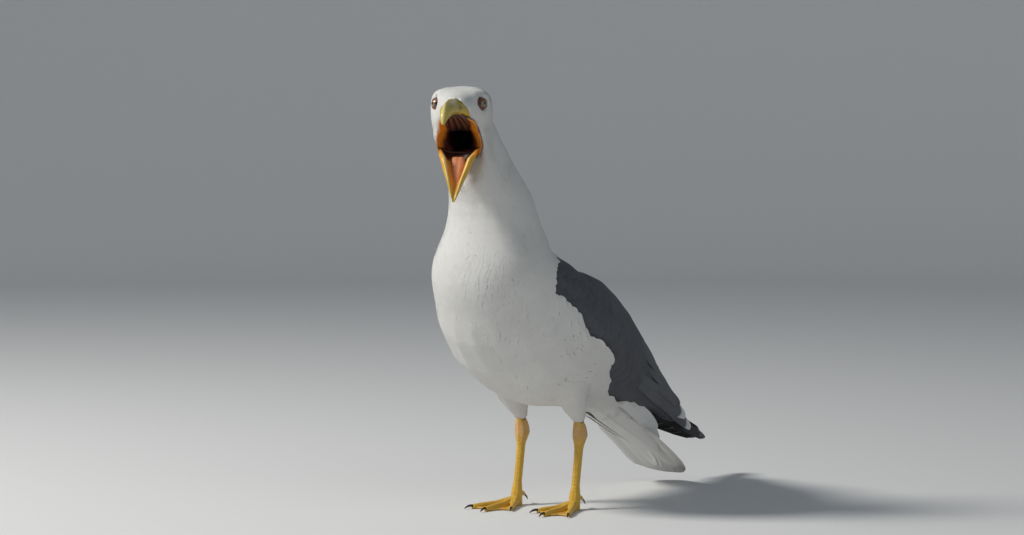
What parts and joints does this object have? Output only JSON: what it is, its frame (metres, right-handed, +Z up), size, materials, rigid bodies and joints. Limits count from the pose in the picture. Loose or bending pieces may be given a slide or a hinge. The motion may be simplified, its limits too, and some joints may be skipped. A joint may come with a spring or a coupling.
{
  "type": "yellow-legged gull",
  "caption": "Life-size standing gull with folded wings, its head turned to its left and its bill wide open in a call; rests on two webbed feet.",
  "frame": {"origin": "on the floor, under the middle of the bird's length and width", "axes": "+Z up, the body faces -Y, +X is the bird's left"},
  "size_m": [0.1546, 0.5042, 0.3811],
  "materials": {
    "white_plumage": "soft, matt feathers",
    "grey_plumage": "soft, matt feathers",
    "black_plumage": "smooth feathers with a slight sheen",
    "yellow_skin": "scaly skin, satin",
    "claw": "dark horn, satin",
    "eye": "wet and glossy",
    "bill": "horn, semi-gloss",
    "gape": "fleshy, moist",
    "throat": "moist",
    "tongue": "moist"
  },
  "bodies": {
    "root": {"head": "white_plumage", "neck": "white_plumage", "trunk": "white_plumage", "tail": "white_plumage", "mantle": "grey_plumage", "wing_left": "grey_plumage", "wing_right": "grey_plumage", "primaries_left": "black_plumage", "primaries_right": "black_plumage", "thigh_left": "white_plumage", "thigh_right": "white_plumage", "shank_left": "yellow_skin", "shank_right": "yellow_skin", "foot_left": "yellow_skin", "foot_right": "yellow_skin", "claw_inner_left": "claw", "claw_middle_left": "claw", "claw_outer_left": "claw", "claw_hind_left": "claw", "claw_inner_right": "claw", "claw_middle_right": "claw", "claw_outer_right": "claw", "claw_hind_right": "claw", "eye_left": "eye", "eye_right": "eye", "bill_upper": "bill", "bill_lower": "bill", "gape": "gape", "throat": "throat", "tongue": "tongue"}
  },
  "joints": []
}
